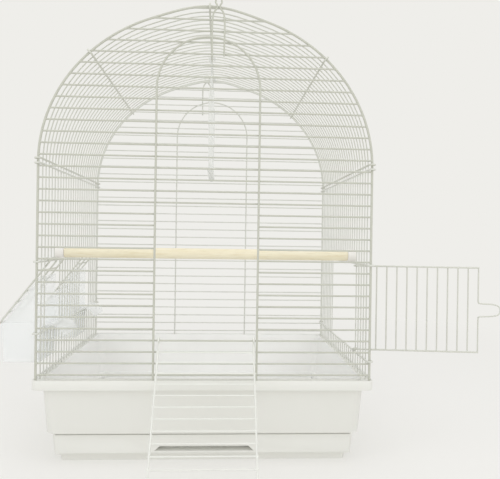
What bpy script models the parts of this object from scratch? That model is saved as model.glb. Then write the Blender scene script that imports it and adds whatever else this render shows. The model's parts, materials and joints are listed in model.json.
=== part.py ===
"""Arched wire bird cage on a moulded base with a pull-out tray.

Metres, +Z up, front towards -Y. The origin is the middle of the base's underside.
"""

import math

import bmesh
import bpy
from mathutils import Matrix, Vector

# Wire grid: hoops run from left to right over the roof, bars run across the front and the back
CAGE_WIDTH = 0.340
HOOP_PITCH = 0.0112
HOOP_SPACES = 25
BAR_PITCH = 0.0117
TOP_BAR_CLEARANCE = 0.0040
ARCH_RISE = 0.1570
CROWN_LIFT = 0.0042
CROWN_HALF = 0.060
ARCH_STEPS = 24
HOOP_STEPS = 12

# Wire thickness, as radii
FRAME_WIRE = 0.0013
INNER_WIRE = 0.0011
TIE_WIRE = 0.00105
BAR_WIRE = 0.0009
WIRE_GAP = 0.00045
WELD_DEPTH = 0.00035

# Base, from the floor up
FOOT_HEIGHT = 0.0078
LOWER_BOX_TOP = 0.032
RIM_UNDERSIDE = 0.079
RIM_HEIGHT = 0.010
MOULDING_WALL = 0.0020
RIM_OVERHANG = 0.0040
TUB_INSET_TOP = 0.0040
TUB_INSET_BOTTOM = 0.0075
LOWER_BOX_INSET_TOP = 0.0130
LOWER_BOX_INSET_BOTTOM = 0.0150
FOOT_INSET = 0.0200
FOOT_DRAFT = 0.0005
GROOVE_INSET = 0.0050
GROOVE_LIP = 0.0012
RIM_CORNER = 0.0065
TUB_CORNER = 0.010
LOWER_BOX_CORNER = 0.004
CORNER_STEPS = 3

# Pull-out tray
TRAY_PLAY = 0.0006
TRAY_WALL = 0.0018
TRAY_DEPTH_UNDER_TOP = 0.0040
TRAY_FACE = 0.0035
TRAY_FACE_TOP_GAP = 0.0028
TRAY_FACE_PROUD = 0.0006
TRAY_REAR_PLAY = 0.0020
GRIP_WIDTH_BOTTOM = 0.104
GRIP_WIDTH_TOP = 0.092
GRIP_HEIGHT = 0.0052
SLOT_MARGIN = 0.0030
GRIP_DEPTH = 0.012

# Where the wires stand on the base
FIRST_BAR_BELOW_RIM = 0.0067
LEG_BELOW_FIRST_BAR = 0.0012

# Front and back panels
INNER_ARCH_HALF = 0.0526
INNER_ARCH_TOP_BAR = 30.45
DOOR_FIRST_BAR = 4
DOOR_LAST_BAR = 16
EYE_OFFSET = 0.009
EYE_LEG_SPREAD = 0.006
EYE_HALF_WIDTH = 0.0032
EYE_RISE = 0.0095
EYE_LEG_BARS = 3.2

# Hinged leaves
HINGE_EYE = 0.0026
HINGE_WIRE = 0.00097
TAB_LENGTH = 0.0240
TAB_ROOT = 0.0073
TAB_TIP = 0.0045
CROSS_WIRE_OVERRUN = 0.0017
RAMP_WIDTH = 0.0968
RAMP_OFFSET = 0.0010
RAMP_FIRST_WIRE = 0.0118
RAMP_PITCH = 0.0115
RAMP_SPACES = 11
SIDE_DOOR_FIRST_HOOP = 5
SIDE_DOOR_LAST_HOOP = 17
SIDE_DOOR_SWING = math.radians(97)
WINDOW_FIRST_HOOPS = (2, 15)
WINDOW_SPACES = 5
FLAP_WIDTH = 0.0516
FLAP_FIRST_WIRE = 0.0108
FLAP_PITCH = 0.0141
FLAP_SPACES = 5
FLAP_RAIL_SIDE = -1
FLAP_SWING = math.radians(38)

# Tie wires pass between the bars: each has the bar next to it, and its height over that bar
WALL_FOOT_OVER_BAR = 0.0029
DOOR_SILL_BAR = 2
DOOR_SILL_OVER_BAR = 0.0025
WINDOW_SILL_BAR = 5
WINDOW_SILL_OVER_BAR = -0.0053
LINTEL_BAR = 11
LINTEL_OVER_BAR = -0.0032
SPRING_BAR = 19
WALL_HEAD_OVER_BAR = 0.0027
ARCH_SPRING_OVER_BAR = 0.0044
ROOF_EDGE_OVER_BAR = 0.0077

# Hooded feeders, with distances out from the wall's wires
FEEDER_WIDTH = 0.0535
FEEDER_WALL = 0.0015
FEEDER_BACK = 0.0042
CUP_DROP = 0.0345
CUP_RISE = 0.0070
CUP_REACH = 0.0422
FLAP_REST_GAP = 0.0006
HOOD_START = 0.0060
LIP_RADIUS = 0.0150
LIP_CENTRE_IN = 0.0050
LIP_CENTRE_DROP = 0.0102
LIP_FROM = math.radians(45)
LIP_TO = math.radians(165)
LIP_STEPS = 6

# Perch
PERCH_HOOP = 6
PERCH_RADIUS = 0.0060
CAP_RADIUS = 0.0068
CAP_LENGTH = 0.0100
CAP_PAST_WIRE = 0.0016
CAP_SLOT = 0.0027
CAP_SLOT_DEPTH = 0.0032
SPIGOT_RADIUS = 0.0040
SPIGOT_LENGTH = 0.0045
FIT_GAP = 0.0003

# Swing
SWING_FIRST_SPACE = 14.5
SWING_LAST_SPACE = 23.5
SWING_WIRE = 0.0015
SWING_HOOK = 0.0034
SWING_DROP = 0.1497
SWING_STRAP_TOP = 0.0078
SWING_STRAP_BOTTOM = 0.0056
SWING_STRAP_THICKNESS = 0.0026
SWING_BAR_RADIUS = 0.0042
SWING_BAR_OVERRUN = 0.006
ROUND_STEPS = 16

# Worked out from the sizes above
HALF_WIDTH = CAGE_WIDTH / 2
HALF_DEPTH = HOOP_PITCH * HOOP_SPACES / 2
RIM_TOP = RIM_UNDERSIDE + RIM_HEIGHT
FIRST_BAR_Z = RIM_TOP - FIRST_BAR_BELOW_RIM
LEG_FOOT_Z = FIRST_BAR_Z - LEG_BELOW_FIRST_BAR
TIE_INSET = FRAME_WIRE + TIE_WIRE + WIRE_GAP
HOOP_INSET = TIE_INSET - (TIE_WIRE + BAR_WIRE - WELD_DEPTH)
WALL_X = HALF_WIDTH - HOOP_INSET
TIE_X = HALF_WIDTH - TIE_INSET


def bar_z(index):
    """Height of a front or back bar, counted from the one in the rim."""
    return FIRST_BAR_Z + BAR_PITCH * index


def hoop_y(index):
    """Distance along the cage of a hoop, counted from the front panel."""
    return HOOP_PITCH * index - HALF_DEPTH


WALL_FOOT_Z = bar_z(0) + WALL_FOOT_OVER_BAR
DOOR_SILL_Z = bar_z(DOOR_SILL_BAR) + DOOR_SILL_OVER_BAR
WINDOW_SILL_Z = bar_z(WINDOW_SILL_BAR) + WINDOW_SILL_OVER_BAR
LINTEL_Z = bar_z(LINTEL_BAR) + LINTEL_OVER_BAR
WALL_HEAD_Z = bar_z(SPRING_BAR) + WALL_HEAD_OVER_BAR
SPRING_Z = bar_z(SPRING_BAR) + ARCH_SPRING_OVER_BAR
ROOF_EDGE_Z = bar_z(SPRING_BAR) + ROOF_EDGE_OVER_BAR
CROWN_Z = SPRING_Z + ARCH_RISE + CROWN_LIFT
BAR_COUNT = 1 + math.floor((CROWN_Z - TOP_BAR_CLEARANCE - FIRST_BAR_Z) / BAR_PITCH)


def material(name, colour, roughness, metallic=0.0, alpha=1.0, transmission=0.0):
    made = bpy.data.materials.new(name)
    made.use_nodes = True
    shader = made.node_tree.nodes["Principled BSDF"]
    shader.inputs["Base Color"].default_value = (*colour, 1.0)
    shader.inputs["Roughness"].default_value = roughness
    shader.inputs["Metallic"].default_value = metallic
    shader.inputs["Alpha"].default_value = alpha
    shader.inputs["Transmission Weight"].default_value = transmission
    return made


def new_object(name, mesh, finish, pivot=(0, 0, 0), turn=None):
    """An object whose mesh is given around its pivot, turned in place by a rotation matrix."""
    made = bpy.data.objects.new(name, mesh)
    bpy.context.scene.collection.objects.link(made)
    made.matrix_world = Matrix.Translation(Vector(pivot)) @ (turn or Matrix.Identity(4))
    if finish is not None:
        mesh.materials.append(finish)
    return made


def mesh_of(bm, name):
    bmesh.ops.remove_doubles(bm, verts=bm.verts, dist=1e-6)
    bmesh.ops.recalc_face_normals(bm, faces=bm.faces)
    mesh = bpy.data.meshes.new(name)
    bm.to_mesh(mesh)
    bm.free()
    return mesh


def wires(name, runs):
    """A mesh of separate closed square wires, each given as its points and its radius."""
    curve = bpy.data.curves.new(name, "CURVE")
    curve.dimensions = "3D"
    curve.bevel_depth = 1.0
    curve.bevel_resolution = 0
    curve.use_fill_caps = True
    for points, radius in runs:
        spline = curve.splines.new("POLY")
        spline.points.add(len(points) - 1)
        for slot, point in zip(spline.points, points):
            slot.co = (*point, 1.0)
            slot.radius = radius
    holder = bpy.data.objects.new(name, curve)
    bpy.context.scene.collection.objects.link(holder)
    graph = bpy.context.evaluated_depsgraph_get()
    swept = bpy.data.meshes.new_from_object(holder.evaluated_get(graph))
    bpy.data.objects.remove(holder)
    bpy.data.curves.remove(curve)
    bm = bmesh.new()
    bm.from_mesh(swept)
    bpy.data.meshes.remove(swept)
    return mesh_of(bm, name)


def boolean(target, tool, operation):
    """Joins a helper to the target, or cuts it away, and hides the helper."""
    change = target.modifiers.new(operation.lower(), "BOOLEAN")
    change.operation = operation
    change.solver = "EXACT"
    change.object = tool
    tool.parent = target
    tool.matrix_parent_inverse = target.matrix_world.inverted()
    tool.hide_render = True
    tool.hide_set(True)
    tool.display_type = "WIRE"


def welded(name, layers, finish, pivot=(0, 0, 0), turn=None):
    """One body of wires. Wires within a layer stay apart, and each layer is welded to those before it."""
    made = new_object(name, wires(name, layers[0]), finish, pivot, turn)
    for number, runs in enumerate(layers[1:]):
        layer = new_object(f"{name}_weld_{number}", wires(name, runs), None, pivot, turn)
        boolean(made, layer, "UNION")
    return made


def prism(name, outline, axis, low, high):
    """A mesh of an outline in the other two axes, drawn out along the given axis."""
    bm = bmesh.new()
    others = [n for n in range(3) if n != axis]
    ring = []
    for point in outline:
        place = [0.0, 0.0, 0.0]
        place[axis] = low
        place[others[0]], place[others[1]] = point
        ring.append(bm.verts.new(place))
    face = bm.faces.new(ring)
    moved = bmesh.ops.extrude_face_region(bm, geom=[face])["geom"]
    step = [0.0, 0.0, 0.0]
    step[axis] = high - low
    bmesh.ops.translate(bm, verts=[v for v in moved if isinstance(v, bmesh.types.BMVert)], vec=step)
    return mesh_of(bm, name)


def block(name, low, high):
    outline = ((low[0], low[1]), (high[0], low[1]), (high[0], high[1]), (low[0], high[1]))
    return prism(name, outline, 2, low[2], high[2])


def rod(name, profile, steps=ROUND_STEPS):
    """A turned piece along X, from (x, radius) pairs."""
    bm = bmesh.new()
    rings = []
    for x, radius in profile:
        angles = [2 * math.pi * n / steps for n in range(steps)]
        rings.append([bm.verts.new((x, radius * math.cos(a), radius * math.sin(a))) for a in angles])
    for near, far in zip(rings, rings[1:]):
        for n in range(steps):
            bm.faces.new((near[n], near[(n + 1) % steps], far[(n + 1) % steps], far[n]))
    bm.faces.new(rings[0])
    bm.faces.new(rings[-1])
    return mesh_of(bm, name)


def smooth(piece):
    piece.data.shade_smooth()
    piece.data.set_sharp_from_angle(angle=math.radians(40))


def crown_lift(x):
    """How far the arch is drawn up over its middle, where the cage hangs from its eyes."""
    share = min(1.0, abs(x) / CROWN_HALF)
    return CROWN_LIFT * math.cos(math.pi / 2 * share) ** 2


def arch(y, inset, foot_z, steps):
    """Points of an arched wire: up the left, over the top and down the right."""
    half, rise = HALF_WIDTH - inset, ARCH_RISE - inset
    points = [(-half, y, foot_z)]
    for n in range(steps + 1):
        angle = math.pi * (1 - n / steps)
        x = half * math.cos(angle)
        points.append((x, y, SPRING_Z + rise * math.sin(angle) + crown_lift(x)))
    points.append((half, y, foot_z))
    return points


def half_width_at(points, z):
    """Where a line at this height meets the right half of an arched wire."""
    for near, far in zip(points, points[1:]):
        if near[0] > 0 and near[2] >= z >= far[2] and near[2] > far[2]:
            share = (near[2] - z) / (near[2] - far[2])
            return near[0] + share * (far[0] - near[0])
    return HALF_WIDTH


def tie(at, outward, hooked=True):
    """A wire from front to back inside the frame wires, its ends curled over both of them."""
    normal = Vector((outward[0], 0, outward[1])).normalized()
    centre = Vector((at[0], 0, at[1]))
    if not hooked:
        inside = centre - normal * TIE_INSET
        end = HALF_DEPTH - TIE_INSET
        return ([(inside.x, -end, inside.z), (inside.x, end, inside.z)], TIE_WIRE)
    front = []
    for degrees in (215, 180, 135, 90, 45, 0):
        angle = math.radians(degrees)
        along = -TIE_INSET * math.sin(angle)
        across = -TIE_INSET * math.cos(angle)
        front.append(centre + normal * across + Vector((0, along - HALF_DEPTH, 0)))
    back = [Vector((p.x, -p.y, p.z)) for p in reversed(front)]
    return ([tuple(p) for p in front + back], TIE_WIRE)


def end_panel(name, side, finish, doorway):
    """The front or the back: an arched frame wire, its bars, an inner arch and a hanging eye."""
    y = side * HALF_DEPTH
    frame = arch(y, 0, LEG_FOOT_Z, ARCH_STEPS)
    inner_y = y + side * (BAR_WIRE + INNER_WIRE) * 0.7
    bars = []
    for index in range(BAR_COUNT):
        z = bar_z(index)
        reach = half_width_at(frame, z)
        if doorway and DOOR_FIRST_BAR < index < DOOR_LAST_BAR:
            bars.append(([(-reach, y, z), (-INNER_ARCH_HALF, y, z)], BAR_WIRE))
            bars.append(([(INNER_ARCH_HALF, y, z), (reach, y, z)], BAR_WIRE))
        else:
            bars.append(([(-reach, y, z), (reach, y, z)], BAR_WIRE))
    crown = bar_z(INNER_ARCH_TOP_BAR)
    inner = [(-INNER_ARCH_HALF, inner_y, LEG_FOOT_Z)]
    for n in range(HOOP_STEPS + 1):
        angle = math.pi * (1 - n / HOOP_STEPS)
        rise = INNER_ARCH_HALF * (math.sin(angle) - 1)
        inner.append((INNER_ARCH_HALF * math.cos(angle), inner_y, crown + rise))
    inner.append((INNER_ARCH_HALF, inner_y, LEG_FOOT_Z))
    return welded(name, [bars, [(frame, FRAME_WIRE), (inner, INNER_WIRE)], [hanging_eye(y, side)]], finish)


def hanging_eye(y, side):
    """A hairpin on the outer face whose eye stands above the arch."""
    x = -side * EYE_OFFSET
    out_y = y + side * (BAR_WIRE + BAR_WIRE) * 0.8
    foot = bar_z(BAR_COUNT - 1 - EYE_LEG_BARS)
    left = [
        (x - EYE_LEG_SPREAD, out_y, foot),
        (x - EYE_LEG_SPREAD, out_y, CROWN_Z - BAR_PITCH),
        (x - BAR_WIRE - WIRE_GAP, out_y, CROWN_Z - FRAME_WIRE),
        (x - EYE_HALF_WIDTH, out_y, CROWN_Z + EYE_RISE * 0.45),
        (x - EYE_HALF_WIDTH * 0.6, out_y, CROWN_Z + EYE_RISE * 0.9),
    ]
    right = [(2 * x - px, py, pz) for px, py, pz in reversed(left)]
    return (left + [(x, out_y, CROWN_Z + EYE_RISE)] + right, BAR_WIRE)


def roof_panel(finish):
    hoops = []
    for index in range(1, HOOP_SPACES):
        points = arch(hoop_y(index), HOOP_INSET, ROOF_EDGE_Z, HOOP_STEPS)
        hoops.append((points[:1] + points[2:-2] + points[-1:], BAR_WIRE))
    ties = []
    for degrees in (0, 45, 90, 135, 180):
        angle = math.radians(degrees)
        x = HALF_WIDTH * math.cos(angle)
        at = (x, SPRING_Z + ARCH_RISE * math.sin(angle) + crown_lift(x))
        outward = (ARCH_RISE * math.cos(angle), HALF_WIDTH * math.sin(angle))
        if degrees in (0, 180):
            at = (x, ROOF_EDGE_Z)
        ties.append(tie(at, outward))
    return welded("roof_panel", [hoops, ties], finish)


def wall_panel(name, side, finish, openings, sills):
    """A side wall: upright wires and ties. Uprights inside an opening stop at its sill and its lintel."""
    x = side * WALL_X
    uprights = []
    for index in range(1, HOOP_SPACES):
        y = hoop_y(index)
        within = [o for o in openings if o[0] < index < o[1]]
        if within:
            uprights.append(([(x, y, WALL_FOOT_Z), (x, y, within[0][2])], BAR_WIRE))
            uprights.append(([(x, y, LINTEL_Z), (x, y, WALL_HEAD_Z)], BAR_WIRE))
        else:
            uprights.append(([(x, y, WALL_FOOT_Z), (x, y, WALL_HEAD_Z)], BAR_WIRE))
    ties = [tie((side * HALF_WIDTH, z), (side, 0)) for z in (*sills, LINTEL_Z, WALL_HEAD_Z)]
    ties.append(tie((side * HALF_WIDTH, WALL_FOOT_Z), (side, 0), hooked=False))
    return welded(name, [uprights, ties], finish)


def leaf(name, rails_at, overrun, positions, side, pivot, turn, finish, tab=True):
    """A hinged grille: rails that curl round the hinge wire and leave it on one side, with cross wires."""
    reach = positions[-1]
    rails = []
    for x in rails_at:
        points = []
        for degrees in (225, 180, 135, 90, 45, 0):
            angle = math.radians(degrees)
            points.append((x, side * HINGE_EYE * math.cos(angle), HINGE_EYE * math.sin(angle)))
        points.append((x, side * HINGE_EYE, -reach))
        rails.append((points, HINGE_WIRE))
    half = rails_at[-1] + overrun
    y = side * HINGE_EYE
    crossings = [([(-half, y, -p), (half, y, -p)], BAR_WIRE) for p in positions[:-1]]
    if tab:
        outline = [
            (-half, reach),
            (-TAB_ROOT - TAB_TIP / 2, reach),
            (-TAB_ROOT, reach + TAB_TIP / 2),
            (-TAB_ROOT * 0.9, reach + TAB_LENGTH * 0.65),
            (-TAB_TIP, reach + TAB_LENGTH * 0.93),
            (0, reach + TAB_LENGTH),
        ]
        outline += [(-x, z) for x, z in reversed(outline[:-1])]
        crossings.append(([(x, y, -z) for x, z in outline], BAR_WIRE))
    else:
        crossings.append(([(-half, y, -reach), (half, y, -reach)], BAR_WIRE))
    return welded(name, [rails, crossings], finish, pivot, turn)


def ramp_door(finish):
    """The front door, let down as a ramp until its tab stands on the floor."""
    positions = [RAMP_FIRST_WIRE + RAMP_PITCH * n for n in range(RAMP_SPACES + 1)]
    hinge_z = bar_z(DOOR_FIRST_BAR)
    reach = positions[-1] + TAB_LENGTH
    tip = math.hypot(reach, HINGE_EYE)
    angle = math.acos((hinge_z - BAR_WIRE) / tip) + math.atan(HINGE_EYE / reach)
    turn = Matrix.Rotation(-angle, 4, "X")
    pivot = (RAMP_OFFSET, -HALF_DEPTH, hinge_z)
    rails_at = (-RAMP_WIDTH / 2, RAMP_WIDTH / 2)
    return leaf("front_ramp_door", rails_at, CROSS_WIRE_OVERRUN, positions, 1, pivot, turn, finish)


def side_door(finish):
    """The right wall's door, on the upright at its front edge."""
    low = DOOR_SILL_Z + TIE_WIRE + WIRE_GAP + HINGE_WIRE
    high = LINTEL_Z - TIE_WIRE - 2 * WIRE_GAP - HINGE_WIRE
    spaces = SIDE_DOOR_LAST_HOOP - SIDE_DOOR_FIRST_HOOP
    positions = [HOOP_PITCH * n for n in range(1, spaces + 1)]
    pivot = (WALL_X, hoop_y(SIDE_DOOR_FIRST_HOOP), (low + high) / 2)
    closed = Matrix(((0, 1, 0, 0), (0, 0, -1, 0), (-1, 0, 0, 0), (0, 0, 0, 1)))
    turn = Matrix.Rotation(-SIDE_DOOR_SWING, 4, "Z") @ closed
    rails_at = ((low - high) / 2, (high - low) / 2)
    return leaf("side_door", rails_at, 0, positions, 1, pivot, turn, finish)


def feeder_flap(name, first_hoop, finish):
    """A window's flap, resting on the feeder's hood."""
    positions = [FLAP_FIRST_WIRE + FLAP_PITCH * n for n in range(FLAP_SPACES + 1)]
    pivot = (-TIE_X, hoop_y(first_hoop + WINDOW_SPACES / 2), LINTEL_Z)
    turn = Matrix.Rotation(FLAP_SWING, 4, "Y") @ Matrix.Rotation(math.pi / 2, 4, "Z")
    rails_at = (-FLAP_WIDTH / 2, 0, FLAP_WIDTH / 2)
    side = FLAP_RAIL_SIDE
    return leaf(name, rails_at, CROSS_WIRE_OVERRUN, positions, side, pivot, turn, finish, tab=False)


def hood_z(reach, under=0.0):
    """Height of the hood's roof at a distance out from the wall, parallel to the flap that rests on it."""
    drop = (HINGE_EYE + HINGE_WIRE + FLAP_REST_GAP + under) / math.sin(FLAP_SWING)
    return LINTEL_Z - (reach + WALL_X - TIE_X) / math.tan(FLAP_SWING) - drop


def hood_reach(z, under=0.0):
    """The other way round: how far out the hood's roof is at a height."""
    return (hood_z(0, under) - z) * math.tan(FLAP_SWING)


def at_wall(outline):
    """Turns (distance out from the left wall, height) into (X, Z)."""
    return [(-WALL_X - reach, z) for reach, z in outline]


def hollow_shell(name, outer, inner, low, high, finish):
    """A box drawn out along Y from its outline, and hollowed."""
    made = new_object(name, prism(name, at_wall(outer), 1, low, high), finish)
    space = prism(name, at_wall(inner), 1, low + FEEDER_WALL, high - FEEDER_WALL)
    boolean(made, new_object(f"{name}_hollow", space, None), "DIFFERENCE")
    return made


def feeder_cup(name, low, high, finish):
    """A seed cup outside the window. Its curved lip hooks over the sill wire and down inside the cage."""
    wall = FEEDER_WALL
    back = FEEDER_BACK + wall
    bottom = WINDOW_SILL_Z - CUP_DROP
    seam = WINDOW_SILL_Z + CUP_RISE
    reach = hood_reach(seam)
    outer = [(FEEDER_BACK, bottom), (CUP_REACH, bottom), (reach, seam), (FEEDER_BACK, seam)]
    inner = [
        (back, bottom + wall),
        (CUP_REACH - wall, bottom + wall),
        (reach - wall, seam + wall),
        (back, seam + wall),
    ]
    cup = hollow_shell(name, outer, inner, low, high, finish)
    centre_z = WINDOW_SILL_Z - LIP_CENTRE_DROP
    across = LIP_CENTRE_IN + FEEDER_BACK
    saddle = centre_z + math.sqrt(LIP_RADIUS**2 - across**2)
    gap = [(0, saddle), (back + wall, saddle), (back + wall, seam + wall), (0, seam + wall)]
    cut = prism("gap", at_wall(gap), 1, low + wall, high - wall)
    boolean(cup, new_object(f"{name}_gap", cut, None), "DIFFERENCE")
    arc = []
    outward, back_again = range(LIP_STEPS + 1), range(LIP_STEPS, -1, -1)
    for radius, steps in ((LIP_RADIUS, outward), (LIP_RADIUS - wall, back_again)):
        for step in steps:
            angle = LIP_FROM + (LIP_TO - LIP_FROM) * step / LIP_STEPS
            arc.append((radius * math.cos(angle) - LIP_CENTRE_IN, centre_z + radius * math.sin(angle)))
    lip = prism("lip", at_wall(arc), 1, low + wall / 2, high - wall / 2)
    boolean(cup, new_object(f"{name}_lip", lip, None), "UNION")
    return cup


def feeder_hood(name, low, high, finish):
    """The hood that stands on a cup, open to the cage and to the cup below."""
    wall = FEEDER_WALL
    back = FEEDER_BACK + wall
    foot = WINDOW_SILL_Z + CUP_RISE + FIT_GAP
    top = hood_z(HOOD_START)
    outer = [(FEEDER_BACK, foot), (hood_reach(foot), foot), (HOOD_START, top), (FEEDER_BACK, top)]
    inner = [
        (0, foot - wall),
        (hood_reach(foot - wall, wall), foot - wall),
        (back, hood_z(back, wall)),
        (0, hood_z(back, wall)),
    ]
    return hollow_shell(name, outer, inner, low, high, finish)


def feeder(word, first_hoop, finish):
    """A feeder in one window: its cup and its hood."""
    middle = hoop_y(first_hoop + WINDOW_SPACES / 2)
    low, high = middle - FEEDER_WIDTH / 2, middle + FEEDER_WIDTH / 2
    feeder_cup(f"feeder_cup_{word}", low, high, finish)
    feeder_hood(f"feeder_hood_{word}", low, high, finish)


def ring(bm, inset, corner, z):
    """A rounded rectangle, this far inside the line of the wire panels."""
    half_x, half_y = HALF_WIDTH - inset, HALF_DEPTH - inset
    made = []
    for number, (side_x, side_y) in enumerate(((1, 1), (-1, 1), (-1, -1), (1, -1))):
        for step in range(CORNER_STEPS + 1):
            angle = math.pi / 2 * (number + step / CORNER_STEPS)
            x = side_x * (half_x - corner) + corner * math.cos(angle)
            y = side_y * (half_y - corner) + corner * math.sin(angle)
            made.append(bm.verts.new((x, y, z)))
    return made


def base_tub(finish):
    """The moulded base: a rim with a groove for the panels, a tapered tub, and a lower box with a slot."""
    wall = MOULDING_WALL
    groove_floor = RIM_UNDERSIDE + wall * 0.8
    levels = [
        (FOOT_INSET + wall, LOWER_BOX_CORNER, wall),
        (FOOT_INSET + wall, LOWER_BOX_CORNER, FOOT_HEIGHT + wall),
        (LOWER_BOX_INSET_BOTTOM + wall, LOWER_BOX_CORNER, FOOT_HEIGHT + wall),
        (LOWER_BOX_INSET_TOP + wall, LOWER_BOX_CORNER, LOWER_BOX_TOP + wall),
        (TUB_INSET_BOTTOM + wall, TUB_CORNER, LOWER_BOX_TOP + wall),
        (TUB_INSET_TOP + wall, TUB_CORNER, groove_floor - wall),
        (GROOVE_INSET + GROOVE_LIP, TUB_CORNER, RIM_TOP),
        (GROOVE_INSET, TUB_CORNER, RIM_TOP),
        (GROOVE_INSET, TUB_CORNER, groove_floor),
        (GROOVE_LIP - RIM_OVERHANG, RIM_CORNER - GROOVE_LIP, groove_floor),
        (GROOVE_LIP - RIM_OVERHANG, RIM_CORNER - GROOVE_LIP, RIM_TOP),
        (-RIM_OVERHANG, RIM_CORNER, RIM_TOP),
        (-RIM_OVERHANG, RIM_CORNER, RIM_UNDERSIDE),
        (TUB_INSET_TOP, TUB_CORNER, RIM_UNDERSIDE),
        (TUB_INSET_BOTTOM, TUB_CORNER, LOWER_BOX_TOP),
        (LOWER_BOX_INSET_TOP, LOWER_BOX_CORNER, LOWER_BOX_TOP),
        (LOWER_BOX_INSET_BOTTOM, LOWER_BOX_CORNER, FOOT_HEIGHT),
        (FOOT_INSET, LOWER_BOX_CORNER, FOOT_HEIGHT),
        (FOOT_INSET + FOOT_DRAFT, LOWER_BOX_CORNER, 0),
    ]
    bm = bmesh.new()
    rings = [ring(bm, *level) for level in levels]
    for near, far in zip(rings, rings[1:]):
        for n in range(len(near)):
            following = (n + 1) % len(near)
            bm.faces.new((near[n], near[following], far[following], far[n]))
    bm.faces.new(rings[0])
    bm.faces.new(rings[-1])
    made = new_object("base_tub", mesh_of(bm, "base_tub"), finish)
    front = -(HALF_DEPTH - LOWER_BOX_INSET_TOP)
    slot = prism("slot", tray_slot(0), 1, front - wall, front + 3 * wall)
    boolean(made, new_object("base_tub_slot", slot, None), "DIFFERENCE")
    smooth(made)
    return made


def tray_slot(clearance):
    """Outline, in X and Z, of the slot in the lower box's front. Its sides lean like the box's own."""
    low = FOOT_HEIGHT + MOULDING_WALL
    high = LOWER_BOX_TOP - TRAY_FACE_TOP_GAP
    half = []
    for z in (low, high):
        share = (z - FOOT_HEIGHT) / (LOWER_BOX_TOP - FOOT_HEIGHT)
        inset = LOWER_BOX_INSET_BOTTOM + (LOWER_BOX_INSET_TOP - LOWER_BOX_INSET_BOTTOM) * share
        half.append(HALF_WIDTH - inset - SLOT_MARGIN - clearance)
    low += clearance
    high -= clearance
    return [(-half[0], low), (half[0], low), (half[1], high), (-half[1], high)]


def pull_out_tray(finish):
    """An open tray on the base's ledge, with a face that fills the slot and a grip recess in it."""
    face_outline = tray_slot(TRAY_PLAY)
    floor_z = face_outline[0][1]
    half = face_outline[1][0] - TRAY_PLAY
    top_z = LOWER_BOX_TOP - TRAY_DEPTH_UNDER_TOP
    face_y = -(HALF_DEPTH - LOWER_BOX_INSET_TOP) - TRAY_FACE_PROUD
    rear_y = HALF_DEPTH - LOWER_BOX_INSET_BOTTOM - MOULDING_WALL - TRAY_REAR_PLAY
    inner_y = face_y + TRAY_FACE
    body = block("tray", (-half, face_y + TRAY_FACE / 2, floor_z), (half, rear_y, top_z))
    made = new_object("pull_out_tray", body, finish)
    low = (-half + TRAY_WALL, inner_y, floor_z + TRAY_WALL)
    high = (half - TRAY_WALL, rear_y - TRAY_WALL, top_z + TRAY_WALL)
    boolean(made, new_object("tray_hollow", block("hollow", low, high), None), "DIFFERENCE")
    face = prism("face", face_outline, 1, face_y, inner_y)
    boolean(made, new_object("tray_face", face, None), "UNION")
    grip_low = floor_z + TRAY_WALL
    grip_high = grip_low + GRIP_HEIGHT
    pocket_half = GRIP_WIDTH_BOTTOM / 2 + TRAY_WALL
    pocket_low = (-pocket_half, face_y + TRAY_FACE / 2, floor_z + TRAY_WALL / 2)
    pocket_high = (pocket_half, face_y + GRIP_DEPTH + TRAY_WALL, grip_high + TRAY_WALL)
    boolean(made, new_object("tray_pocket", block("pocket", pocket_low, pocket_high), None), "UNION")
    grip = (
        (-GRIP_WIDTH_BOTTOM / 2, grip_low),
        (GRIP_WIDTH_BOTTOM / 2, grip_low),
        (GRIP_WIDTH_TOP / 2, grip_high),
        (-GRIP_WIDTH_TOP / 2, grip_high),
    )
    recess = prism("grip", grip, 1, face_y - TRAY_WALL, face_y + GRIP_DEPTH)
    boolean(made, new_object("tray_grip", recess, None), "DIFFERENCE")
    return made


def perch(dowel_finish, cap_finish):
    """A dowel from wall to wall. Its slotted caps push on to a wall wire and rest on the lintel ties."""
    y = hoop_y(PERCH_HOOP)
    z = LINTEL_Z + TIE_WIRE + FIT_GAP + CAP_RADIUS
    cap_end = WALL_X + CAP_PAST_WIRE
    cap_start = cap_end - CAP_LENGTH
    dowel_end = cap_start - FIT_GAP
    spigot_end = dowel_end + SPIGOT_LENGTH
    profile = [
        (-spigot_end, SPIGOT_RADIUS),
        (-dowel_end, SPIGOT_RADIUS),
        (-dowel_end, PERCH_RADIUS),
        (dowel_end, PERCH_RADIUS),
        (dowel_end, SPIGOT_RADIUS),
        (spigot_end, SPIGOT_RADIUS),
    ]
    dowel = new_object("perch_dowel", rod("perch_dowel", profile), dowel_finish, (0, y, z))
    smooth(dowel)
    for name, side in (("perch_cap_left", -1), ("perch_cap_right", 1)):
        outline = [(side * cap_start, CAP_RADIUS), (side * cap_end, CAP_RADIUS)]
        cap = new_object(name, rod(name, outline), cap_finish, (0, y, z))
        bore_end = side * (spigot_end + FIT_GAP)
        bore_radius = SPIGOT_RADIUS + FIT_GAP
        bore_outline = [(side * (cap_start - CAP_LENGTH), bore_radius), (bore_end, bore_radius)]
        bore = new_object(f"{name}_bore", rod(name, bore_outline), None, (0, y, z))
        boolean(cap, bore, "DIFFERENCE")
        edges = sorted((side * (cap_end - CAP_SLOT_DEPTH), side * (cap_end + CAP_SLOT_DEPTH)))
        slot_low = (edges[0], -CAP_SLOT / 2, -2 * CAP_RADIUS)
        slot_high = (edges[1], CAP_SLOT / 2, 2 * CAP_RADIUS)
        slot = block(name, slot_low, slot_high)
        boolean(cap, new_object(f"{name}_slot", slot, None, (0, y, z)), "DIFFERENCE")
        smooth(cap)


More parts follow.
